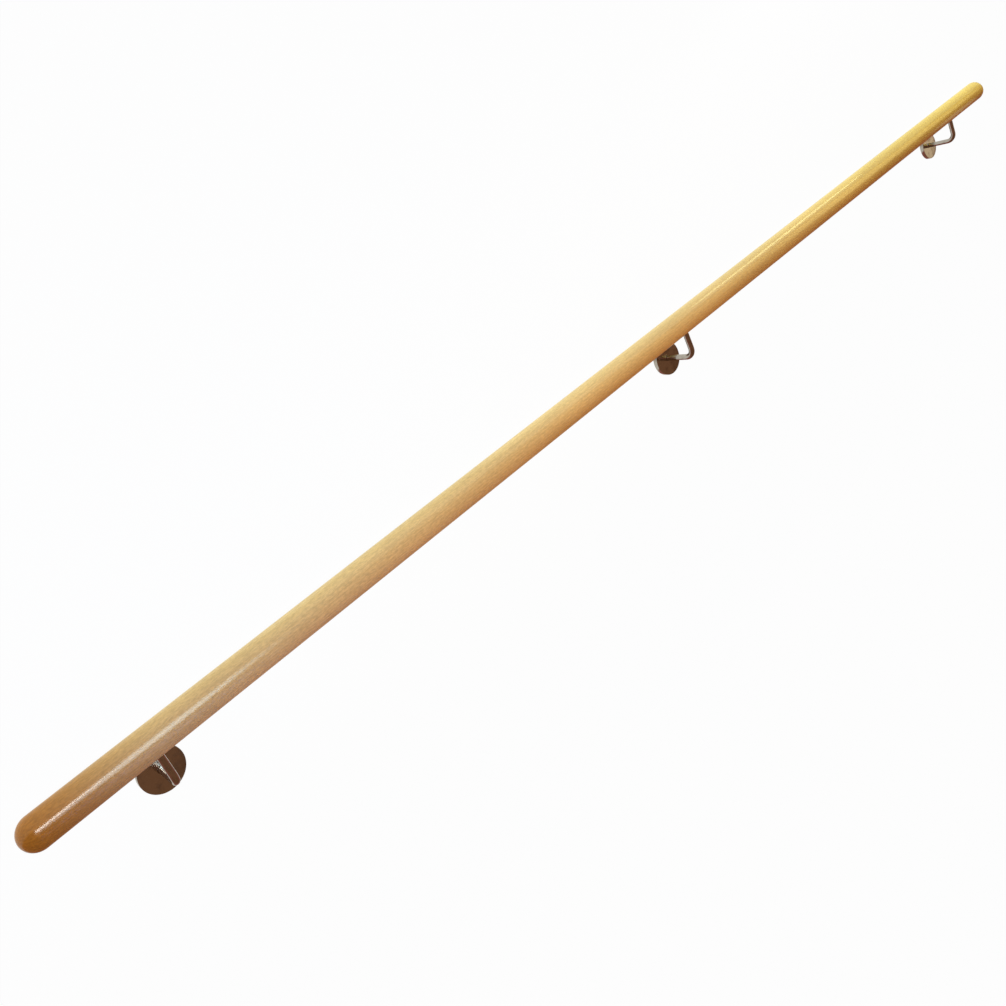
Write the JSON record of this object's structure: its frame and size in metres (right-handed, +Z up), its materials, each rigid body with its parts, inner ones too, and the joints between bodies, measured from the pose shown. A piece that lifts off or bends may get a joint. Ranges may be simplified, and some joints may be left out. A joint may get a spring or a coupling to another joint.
{
  "type": "wall handrail with brackets",
  "caption": "Round wooden handrail with half-ball ends, on steel wall brackets made of a bent rod and a flat round rosette.",
  "frame": {"origin": "middle of the rectangle that the part covers on the floor as it lies, at floor level", "axes": "+X along the rail, from its lower end to its upper end as mounted; +Y from the brackets' mounting side towards the rail; +Z up as it lies"},
  "size_m": [2.4, 0.1365, 0.0666],
  "materials": {
    "lacquered_wood": "light hardwood under clear satin lacquer",
    "polished_steel": "stainless steel, finely polished",
    "plate_steel": "stainless steel, plain rolled"
  },
  "bodies": {
    "root": {"handrail": "lacquered_wood", "wall_plate_1": "plate_steel", "cover_rosette_1": "polished_steel", "arm_1": "polished_steel", "wall_plate_2": "plate_steel", "cover_rosette_2": "polished_steel", "arm_2": "polished_steel", "wall_plate_3": "plate_steel", "cover_rosette_3": "polished_steel", "arm_3": "polished_steel"}
  },
  "joints": []
}
